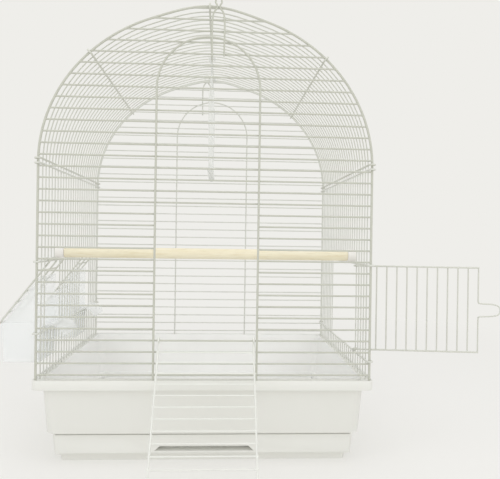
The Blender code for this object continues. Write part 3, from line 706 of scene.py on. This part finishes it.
def side_door_grille():
    """The right wall's door, drawn closed in its doorway and then swung open by its joint's range."""
    first, last = SIDE_DOOR_HOOPS
    low = DOOR_SILL_Z + TIE_WIRE + SIDE_DOOR_SILL_GAP + HINGE_WIRE
    high = LINTEL_Z - TIE_WIRE - SIDE_DOOR_LINTEL_GAP - HINGE_WIRE
    half = (high - low) / 2
    positions = [HOOP_PITCH * n for n in range(1, last - first + 1)]
    closed = Matrix(((0, 1, 0, 0), (0, 0, -1, 0), (-1, 0, 0, 0), (0, 0, 0, 1)))
    swing_open = Matrix.Rotation(-math.radians(joints["side_door_hinge"]["range_deg"][1]), 4, "Z")
    turn = Matrix.Translation(joints["side_door_hinge"]["pos_m"]) @ swing_open @ closed
    return leaf("side_door_grille", (-half, half), 0, positions, 1, turn, True)


def flap_grille(word):
    """A window's flap, raised to lie on the feeder's hood."""
    positions = [FLAP_FIRST_WIRE + FLAP_PITCH * n for n in range(FLAP_SPACES + 1)]
    turn = Matrix.Rotation(FLAP_SWING, 4, "Y") @ Matrix.Rotation(math.pi / 2, 4, "Z")
    place = Matrix.Translation(joints[f"flap_{word}_hinge"]["pos_m"])
    rails_at = (-FLAP_WIDTH / 2, 0, FLAP_WIDTH / 2)
    return leaf(f"flap_grille_{word}", rails_at, CROSS_WIRE_OVERRUN, positions, -1, place @ turn, False)


def level_places(inset, corner, z):
    """A rectangle this far inside the wire panels, with rounded corners, as points in order."""
    half_x, half_y = HALF_WIDTH - inset, HALF_DEPTH - inset
    places = []
    for number, (side_x, side_y) in enumerate(((1, 1), (-1, 1), (-1, -1), (1, -1))):
        centre = (side_x * (half_x - corner), side_y * (half_y - corner))
        turn = 90 * number
        places += [(x, y, z) for x, y in ellipse(centre, (corner, corner), turn, turn + 90, CORNER_STEPS)]
    return places


def stacked(name, levels):
    """A moulding drawn out from one rounded level to the next, closed at both ends."""
    bm = bmesh.new()
    loop = [bm.verts.new(place) for place in level_places(*levels[0])]
    first = edges = [bm.edges.new(pair) for pair in zip(loop, loop[1:] + loop[:1])]
    for level in levels[1:]:
        grown = bmesh.ops.extrude_edge_only(bm, edges=edges)["geom"]
        fresh = set(moved_vertices(grown))
        loop = [next(e.other_vert(v) for e in v.link_edges if e.other_vert(v) in fresh) for v in loop]
        grown_edges = [part for part in grown if isinstance(part, bmesh.types.BMEdge)]
        edges = [edge for edge in grown_edges if set(edge.verts) <= fresh]
        for vertex, place in zip(loop, level_places(*level)):
            vertex.co = place
    bmesh.ops.contextual_create(bm, geom=first)
    bmesh.ops.contextual_create(bm, geom=edges)
    return piece_from(bm, name)


def tray_slot(clearance):
    """The slot in the lower box's front, in X and Z. Its sides lean as the box's own do."""
    low = FOOT_HEIGHT + MOULDING_WALL
    high = LOWER_BOX_TOP - TRAY_FACE_TOP_GAP
    half = []
    for z in (low, high):
        share = (z - FOOT_HEIGHT) / (LOWER_BOX_TOP - FOOT_HEIGHT)
        inset = LOWER_BOX_INSETS[0] + (LOWER_BOX_INSETS[1] - LOWER_BOX_INSETS[0]) * share
        half.append(HALF_WIDTH - inset - SLOT_MARGIN - clearance)
    return [
        (-half[0], low + clearance), (half[0], low + clearance),
        (half[1], high - clearance), (-half[1], high - clearance),
    ]


def base_shell():
    """The moulded base: a rim with a groove for the panels, a tapered tub, and a lower box with a slot."""
    wall = MOULDING_WALL
    groove_floor = RIM_TOP - GROOVE_DEPTH
    rim_inset, rim_corner = GROOVE_LIP - RIM_OVERHANG, RIM_CORNER - GROOVE_LIP
    levels = [
        (FOOT_INSET + wall, LOWER_BOX_CORNER, wall),
        (FOOT_INSET + wall, LOWER_BOX_CORNER, FOOT_HEIGHT + wall),
        (LOWER_BOX_INSETS[0] + wall, LOWER_BOX_CORNER, FOOT_HEIGHT + wall),
        (LOWER_BOX_INSETS[1] + wall, LOWER_BOX_CORNER, LOWER_BOX_TOP + wall),
        (TUB_INSETS[0] + wall, TUB_CORNER, LOWER_BOX_TOP + wall),
        (TUB_INSETS[1] + wall, TUB_CORNER, RIM_UNDERSIDE),
        (GROOVE_INSET + GROOVE_LIP, TUB_CORNER, RIM_TOP),
        (GROOVE_INSET, TUB_CORNER, RIM_TOP),
        (GROOVE_INSET, TUB_CORNER, groove_floor),
        (rim_inset, rim_corner, groove_floor),
        (rim_inset, rim_corner, RIM_TOP),
        (-RIM_OVERHANG, RIM_CORNER, RIM_TOP),
        (-RIM_OVERHANG, RIM_CORNER, RIM_UNDERSIDE),
        (TUB_INSETS[1], TUB_CORNER, RIM_UNDERSIDE),
        (TUB_INSETS[0], TUB_CORNER, LOWER_BOX_TOP),
        (LOWER_BOX_INSETS[1], LOWER_BOX_CORNER, LOWER_BOX_TOP),
        (LOWER_BOX_INSETS[0], LOWER_BOX_CORNER, FOOT_HEIGHT),
        (FOOT_INSET, LOWER_BOX_CORNER, FOOT_HEIGHT),
        (FOOT_INSET + MOULDED_EDGE, LOWER_BOX_CORNER, 0),
    ]
    made = stacked("base_shell", levels)
    front = LOWER_BOX_INSETS[1] - HALF_DEPTH
    combine(made, prism("slot", tray_slot(0), 1, front - wall, front + 3 * wall), "DIFFERENCE")
    soften(made, MOULDED_EDGE)
    return made


def faces_inside(face):
    """Tells the base's inner walls and floor, which take the painted light, from its outside."""
    inward = -face.normal.x * face.center.x - face.normal.y * face.center.y
    inner_floor = face.normal.z > 0.5 and face.center.z < RIM_UNDERSIDE
    return inward > HALF_DEPTH / 3 or inner_floor


def tray_shell():
    """The open tray, with the face that fills the slot and a finger recess in it."""
    outline = tray_slot(TRAY_PLAY)
    floor_z = outline[0][1]
    half = outline[1][0] - TRAY_PLAY
    face_y = LOWER_BOX_INSETS[1] - HALF_DEPTH - TRAY_FACE_PROUD
    inner_y = face_y + TRAY_FACE
    joint_y = face_y + TRAY_FACE / 2
    rear_y = HALF_DEPTH - LOWER_BOX_INSETS[0] - MOULDING_WALL - TRAY_REAR_PLAY
    made = block("tray_shell", (-half, joint_y, floor_z), (half, rear_y, TRAY_TOP_Z))
    hollow_low = (-half + TRAY_WALL, inner_y, floor_z + TRAY_WALL)
    hollow_high = (half - TRAY_WALL, rear_y - TRAY_WALL, TRAY_TOP_Z + TRAY_WALL)
    combine(made, block("hollow", hollow_low, hollow_high), "DIFFERENCE")
    combine(made, prism("face", outline, 1, face_y, inner_y), "UNION")
    low_half, high_half = (width / 2 for width in GRIP_WIDTHS)
    grip_low = floor_z + TRAY_WALL
    grip_high = grip_low + GRIP_HEIGHT
    pocket_low = (-low_half - TRAY_WALL, joint_y, floor_z + TRAY_WALL / 2)
    pocket_high = (low_half + TRAY_WALL, face_y + GRIP_DEPTH + TRAY_WALL, grip_high + TRAY_WALL)
    combine(made, block("pocket", pocket_low, pocket_high), "UNION")
    grip = ((-low_half, grip_low), (low_half, grip_low), (high_half, grip_high), (-high_half, grip_high))
    combine(made, prism("grip", grip, 1, face_y - TRAY_WALL, face_y + GRIP_DEPTH), "DIFFERENCE")
    soften(made, TRAY_EDGE)
    return made


def faces_front(face):
    """Tells the tray's face and its finger recess from the tray behind them, which takes the painted light.
    """
    return face.center.y < LOWER_BOX_INSETS[1] - HALF_DEPTH + GRIP_DEPTH + 2 * TRAY_WALL


def hood_z(reach):
    """Height of the hood's roof at a distance out from the wall, parallel to the flap that rests on it."""
    drop = (HINGE_EYE + HINGE_WIRE + FLAP_REST_GAP) / math.sin(FLAP_SWING)
    return LINTEL_Z - (reach + WALL_X - TIE_X) / math.tan(FLAP_SWING) - drop


def hood_reach(z):
    """Distance out from the wall at which the hood's roof has come down to a height."""
    return (hood_z(0) - z) * math.tan(FLAP_SWING)


def thin_shell(name, wrap, cheek, middle):
    """Thin clear plastic: a profile drawn out along Y, a flat cheek at each end, and a thickness inwards.

    Profiles are pairs of distance out from the left wall and height.
    """
    low, high = middle - FEEDER_WIDTH / 2, middle + FEEDER_WIDTH / 2
    bm = bmesh.new()
    ring = {point: bm.verts.new((-WALL_X - point[0], low, point[1])) for point in {*wrap, *cheek}}
    edges = [bm.edges.new((ring[a], ring[b])) for a, b in zip(wrap, wrap[1:])]
    grown = bmesh.ops.extrude_edge_only(bm, edges=edges)["geom"]
    bmesh.ops.translate(bm, verts=moved_vertices(grown), vec=(0, high - low, 0))
    far_ring = {}
    for point in cheek:
        place = Vector((-WALL_X - point[0], high, point[1]))
        near_by = [v for v in bm.verts if (v.co - place).length < SAME_PLACE]
        far_ring[point] = near_by[0] if near_by else bm.verts.new(place)
    bm.faces.new([ring[point] for point in cheek])
    bm.faces.new([far_ring[point] for point in cheek])
    made = piece_from(bm, name)
    limit = math.radians(40)
    modifier(made, "BEVEL", width=FEEDER_ROUNDING, segments=4, limit_method="ANGLE", angle_limit=limit)
    modifier(made, "SOLIDIFY", thickness=FEEDER_WALL, offset=-1, use_even_offset=True)
    settle(made)
    shade(made, degrees=45)
    # Clear plastic this thin casts next to no shadow
    made.visible_shadow = False
    return made


def feeder_cup(word, middle):
    """A seed cup outside the window. Its curved lip hooks over the sill wire and down inside the cage."""
    bottom = WINDOW_SILL_Z - CUP_DROP
    seam = WINDOW_SILL_Z + CUP_RISE
    centre = (-LIP_CENTRE_IN, WINDOW_SILL_Z - LIP_CENTRE_DROP)
    saddle = math.degrees(math.acos((LIP_CENTRE_IN + FEEDER_BACK) / LIP_RADIUS))
    lip = ellipse(centre, (LIP_RADIUS, LIP_RADIUS), LIP_END_DEGREES, saddle, LIP_STEPS)
    body = [(FEEDER_BACK, bottom), (CUP_REACH, bottom), (hood_reach(seam), seam)]
    cheek = [lip[-1], *body, (FEEDER_BACK, seam)]
    return thin_shell(f"seed_cup_{word}", lip + body, cheek, middle)


def feeder_hood(word, middle):
    """The hood that stands on a cup, open to the cage and to the cup below."""
    foot = WINDOW_SILL_Z + CUP_RISE + SEAM_GAP
    wrap = [(hood_reach(foot), foot), (HOOD_START, hood_z(HOOD_START)), (FEEDER_BACK, hood_z(HOOD_START))]
    return thin_shell(f"cup_hood_{word}", wrap, wrap + [(FEEDER_BACK, foot)], middle)


def perch_end(word, side, start, place):
    """A slotted cap that pushes on to a wall wire, turned and then slotted."""
    outer = start + CAP_LENGTH
    corner = CAP_RADIUS - CAP_ROUNDING
    rounding = (CAP_ROUNDING, CAP_ROUNDING)
    profile = [(start, 0), (start, corner)]
    profile += ellipse((start + CAP_ROUNDING, corner), rounding, 180, 90, CAP_CORNER_STEPS)
    profile += ellipse((outer - CAP_ROUNDING, corner), rounding, 90, 0, CAP_CORNER_STEPS)
    profile.append((outer, 0))
    cap = turned(f"perch_end_{word}", [(side * x, radius) for x, radius in profile], PERCH_STEPS, place)
    low_x, high_x = sorted((side * (outer - CAP_SLOT_DEPTH), side * (outer + CAP_SLOT_DEPTH)))
    low = (low_x, -CAP_SLOT / 2, -2 * CAP_RADIUS)
    cutter = block("slot", low, (high_x, CAP_SLOT / 2, 2 * CAP_RADIUS))
    cutter.data.transform(place)
    combine(cap, cutter, "DIFFERENCE")
    shade(cap, degrees=35)
    return cap


def swing_straps(hang, ends):
    """The swing's hooks over the roof's middle tie, the spreader between them, and its two flat straps."""
    hook = SWING_HOOK
    runs = []
    for y in ends:
        curl = [(x, y, z) for x, z in ellipse((0, 0), (hook, hook), *SWING_CURL, SWING_CURL_STEPS)]
        down = eased([curl[-1], *((x, y, z) for x, z in SWING_HOOK_BEND)])
        runs.append((curl[:-1] + down + [(0, y, -SWING_NECK_START - SWING_WIRE)], SWING_WIRE))
    spreader_z = -SWING_NECK_START - SWING_STRAP_TOP / 2
    runs.append(([(0, y, spreader_z) for y in ends], SWING_SPREADER_WIRE))
    place = Matrix.Translation(hang)
    made = wirework("swing_straps", runs, [], place)
    bm = bmesh.new()
    bm.from_mesh(made.data)
    outline = [
        (SWING_NECK / 2, -SWING_NECK_START), (SWING_NECK / 2, -SWING_NECK_END),
        (SWING_STRAP_TOP / 2, -SWING_SHOULDER_END), (SWING_STRAP_BOTTOM / 2, -SWING_DROP),
    ]
    outline += [(-x, z) for x, z in reversed(outline)]
    for y in ends:
        strap = prism("strap", outline, 1, y - SWING_STRAP_THICKNESS / 2, y + SWING_STRAP_THICKNESS / 2)
        soften(strap, SWING_STRAP_ROUNDING, degrees=40, segments=3)
        strap.data.transform(place)
        bm.from_mesh(strap.data)
        bpy.data.objects.remove(strap)
    bm.to_mesh(made.data)
    bm.free()
    return made


def swing_seat(hang, ends):
    """The bar between the straps, notched where it clips into each of them."""
    near_y, far_y = ends
    radius = SWING_BAR_RADIUS
    profile = rod_profile((far_y - near_y) / 2 + SWING_BAR_OVERRUN, radius, SWING_BAR_EDGE)
    middle = Vector((0, (near_y + far_y) / 2, hang.z - SWING_DROP + radius))
    place = Matrix.Translation(middle) @ Matrix.Rotation(math.pi / 2, 4, "Z")
    bar = turned("swing_seat", profile, SWING_BAR_STEPS, place)
    reach_x = SWING_STRAP_BOTTOM / 2 + 2 * SEAM_GAP
    reach_y = SWING_STRAP_THICKNESS / 2 + SEAM_GAP
    for y in ends:
        low = (-reach_x, y - reach_y, middle.z - radius - SEAM_GAP)
        combine(bar, block("notch", low, (reach_x, y + reach_y, middle.z + 2 * radius)), "DIFFERENCE")
    shade(bar, degrees=35)
    return bar


def dress_panels(coat):
    """The wire panels and the two doors. Their whites differ a little: lit and shaded copies of one coat,
    painted light and painted shade.
    """
    # The front is a little greyer: painted shade on the same coat
    front_coat = powder_coat("painted_shade_powder_coat", "#C9CABF", "#BEBFB3", (0.36, 0.50))
    # The back and the walls are paler, and the ramp is nearly white: painted light on the same coat
    painted_light_coat = powder_coat("painted_light_powder_coat", "#DCDDD6", "#D4D5CD", (0.32, 0.44))
    ramp_coat = powder_coat("painted_light_ramp_powder_coat", "#EBECE7", "#E3E4DD", (0.30, 0.42))
    windows = [(first, first + WINDOW_SPACES, WINDOW_SILL_Z) for first in WINDOW_FIRST_HOOPS]
    doorways = [(*SIDE_DOOR_HOOPS, DOOR_SILL_Z)]
    dressed(end_panel("front_wires", -1, True), front_coat, "root", "wire", "front_panel")
    dressed(end_panel("back_wires", 1, False), painted_light_coat, "root", "wire", "back_panel")
    dressed(roof_hoops(), coat, "root", "wire", "roof_panel")
    left_wall = wall_wires("left_wires", -1, windows, [WINDOW_SILL_Z])
    dressed(left_wall, painted_light_coat, "root", "wire", "left_wall_panel")
    right_wall = wall_wires("right_wires", 1, doorways, [DOOR_SILL_Z])
    dressed(right_wall, painted_light_coat, "root", "wire", "right_wall_panel")
    dressed(ramp_grille(), ramp_coat, "ramp", "wire", "front_ramp_door")
    dressed(side_door_grille(), coat, "door", "wire", "side_door")


def dress_base():
    """The base and its tray, whose insides are a cooler and brighter white than what shows in front: painted
    light that stands in for the light filling the tub.
    """
    # Injection-moulded polypropylene, warm white: semi-gloss outside, with faint flow marks
    outside = surface(
        "moulded_polypropylene", "#E9E9E4", "#E4E4DE", patch_mm=60, grain_mm=0.7, depth_mm=0.02,
        roughness=(0.28, 0.42), stretch=(1, 1, 0.5), IOR=1.49,
    )
    # The same plastic, a brighter white as painted light on the insides, and a little more matt
    inside = surface(
        "painted_light_polypropylene", "#F9F9F7", "#F4F4F2", patch_mm=50, grain_mm=0.8, depth_mm=0.02,
        roughness=(0.34, 0.48), IOR=1.49,
    )
    base = dressed(base_shell(), outside, "root", "base", "base_tub")
    second_finish(base, inside, faces_inside)
    tray = dressed(tray_shell(), inside, "tray", "tray", "pull_out_tray")
    second_finish(tray, outside, faces_front)


def dress_windows(coat):
    """The windows' flaps, and the feeders' cups and hoods. The cups are hazier than the hoods."""
    clear = polystyrene("clear_polystyrene", (0.10, 0.18), 0.34)
    hazy = polystyrene("hazy_polystyrene", (0.14, 0.24), 0.50)
    for word, first in zip(("front", "rear"), WINDOW_FIRST_HOOPS):
        middle = hoop_y(first + WINDOW_SPACES / 2)
        dressed(flap_grille(word), coat, f"flap_{word}", "wire", f"feeder_flap_{word}")
        dressed(feeder_cup(word, middle), hazy, "root", "feeder", f"feeder_cup_{word}")
        dressed(feeder_hood(word, middle), clear, "root", "feeder", f"feeder_hood_{word}")


def dress_perch():
    """A dowel from wall to wall, and the slotted caps that push on to the wall wires."""
    # Soft low-density polyethylene on the perch's ends: satin, bright white
    cap_plastic = surface(
        "perch_cap_polyethylene", "#F9F6F2", "#F1EEEA", patch_mm=12, grain_mm=0.5, depth_mm=0.02,
        roughness=(0.46, 0.56), IOR=1.51,
    )
    low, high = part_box("perch_dowel")
    place = Matrix.Translation((0, (low.y + high.y) / 2, (low.z + high.z) / 2))
    cap_start = WALL_X + CAP_PAST_WIRE - CAP_LENGTH
    profile = rod_profile(cap_start - SEAM_GAP, PERCH_RADIUS, PERCH_EDGE)
    rod = turned("perch_rod", profile, PERCH_STEPS, place)
    dressed(rod, grained_wood("sanded_ramin"), "perch", "perch", "perch_dowel")
    for word, side in (("left", -1), ("right", 1)):
        cap = perch_end(word, side, cap_start, place)
        dressed(cap, cap_plastic, "perch", "perch_cap", f"perch_cap_{word}")


def dress_swing():
    """A hanging swing: two flat straps with hooks over the roof's middle tie, and the bar between them."""
    # Natural polypropylene: milky, lets some light through
    milky = surface(
        "milky_polypropylene", "#F3F4F2", "#EBECE9", patch_mm=20, grain_mm=0.8, depth_mm=0.02,
        roughness=(0.30, 0.42), IOR=1.49, Alpha=0.50,
    )
    hang = Vector((0, 0, joints["swing_hinge"]["pos_m"][2]))
    ends = tuple(hoop_y(space) for space in SWING_SPACES)
    dressed(swing_straps(hang, ends), milky, "swing", "swing", "swing_frame")
    dressed(swing_seat(hang, ends), milky, "swing", "swing", "swing_bar")


def link(name, data, matrix):
    """An object for a camera or a lamp, put in its place."""
    made = bpy.data.objects.new(name, data)
    made.matrix_world = matrix
    bpy.context.scene.collection.objects.link(made)
    return made


def camera():
    """The photograph's viewpoint."""
    lens = bpy.data.cameras.new("camera")
    lens.lens = LENS_MM
    lens.sensor_width = SENSOR_MM
    lens.sensor_fit = "HORIZONTAL"
    lens.clip_start = 0.01
    aim = Matrix.Rotation(-CAMERA_YAW, 4, "Z") @ Matrix.Rotation(math.pi / 2 - CAMERA_PITCH, 4, "X")
    turn = aim @ Matrix.Rotation(CAMERA_ROLL, 4, "Z")
    bpy.context.scene.camera = link("camera", lens, Matrix.Translation(CAMERA_PLACE) @ turn)


def white_world(backdrop):
    """Even white fill all round. Sight lines, reflections and clear walls see the backdrop's colour."""
    world = bpy.data.worlds.new("studio")
    bpy.context.scene.world = world
    world.use_nodes = True
    tree = world.node_tree
    tree.nodes.clear()
    path = add(tree, "ShaderNodeLightPath")
    sees = path.outputs["Is Camera Ray"]
    for word in ("Is Glossy Ray", "Is Transmission Ray"):
        sees = add(tree, "ShaderNodeMath", {0: sees, 1: path.outputs[word]}, operation="MAXIMUM").outputs[0]
    shown = add(tree, "ShaderNodeBackground", {"Color": backdrop, "Strength": 1.0})
    fill = add(tree, "ShaderNodeBackground", {"Color": linear("#FFFFFF"), "Strength": FILL_STRENGTH})
    mixed = add(tree, "ShaderNodeMixShader", {
        0: sees, 1: fill.outputs["Background"], 2: shown.outputs["Background"],
    })
    out = add(tree, "ShaderNodeOutputWorld", {"Surface": mixed.outputs["Shader"]})
    out.is_active_output = True


def paper_floor(backdrop, paper_colour):
    """A floor that keeps the cage's soft shadow and fades into the backdrop's colour further out."""
    bm = bmesh.new()
    bmesh.ops.create_grid(bm, x_segments=8, y_segments=8, size=8)
    floor = piece_from(bm, "floor")
    if floor.data.polygons[0].normal.z < 0:
        floor.data.flip_normals()
    white, tree, out = bare_material("studio_sweep")
    place = add(tree, "ShaderNodeTexCoord").outputs["Object"]
    away = add(tree, "ShaderNodeVectorMath", {0: place}, operation="LENGTH")
    fade = add(tree, "ShaderNodeMapRange", {
        "Value": away.outputs["Value"], "From Min": 0.35, "From Max": 1.1, "To Min": 0.5,
    })
    paper = add(tree, "ShaderNodeBsdfDiffuse", {"Color": paper_colour})
    glow = add(tree, "ShaderNodeEmission", {"Color": backdrop, "Strength": 1.0})
    mixed = add(tree, "ShaderNodeMixShader", {
        0: fade.outputs["Result"], 1: paper.outputs["BSDF"], 2: glow.outputs["Emission"],
    })
    tree.links.new(mixed.outputs["Shader"], out.inputs["Surface"])
    floor.data.materials.append(white)


def studio():
    """A white sweep and plain soft light."""
    backdrop = linear("#EFEEEA")
    white_world(backdrop)
    paper_floor(backdrop, linear("#F3F2EF"))
    for name, place, aim, size, power in LIGHTS:
        lamp = bpy.data.lights.new(name, "AREA")
        lamp.shape = "SQUARE"
        lamp.size = size
        lamp.energy = power
        facing = (Vector(aim) - Vector(place)).to_track_quat("-Z", "Y").to_matrix().to_4x4()
        link(name, lamp, Matrix.Translation(place) @ facing)


camera()
studio()
steel_coat = powder_coat("powder_coated_steel", "#D6D7CE", "#CDCEC4", (0.34, 0.46))
dress_base()
dress_panels(steel_coat)
dress_windows(steel_coat)
dress_perch()
dress_swing()
bpy.context.scene.view_settings.view_transform = "Standard"
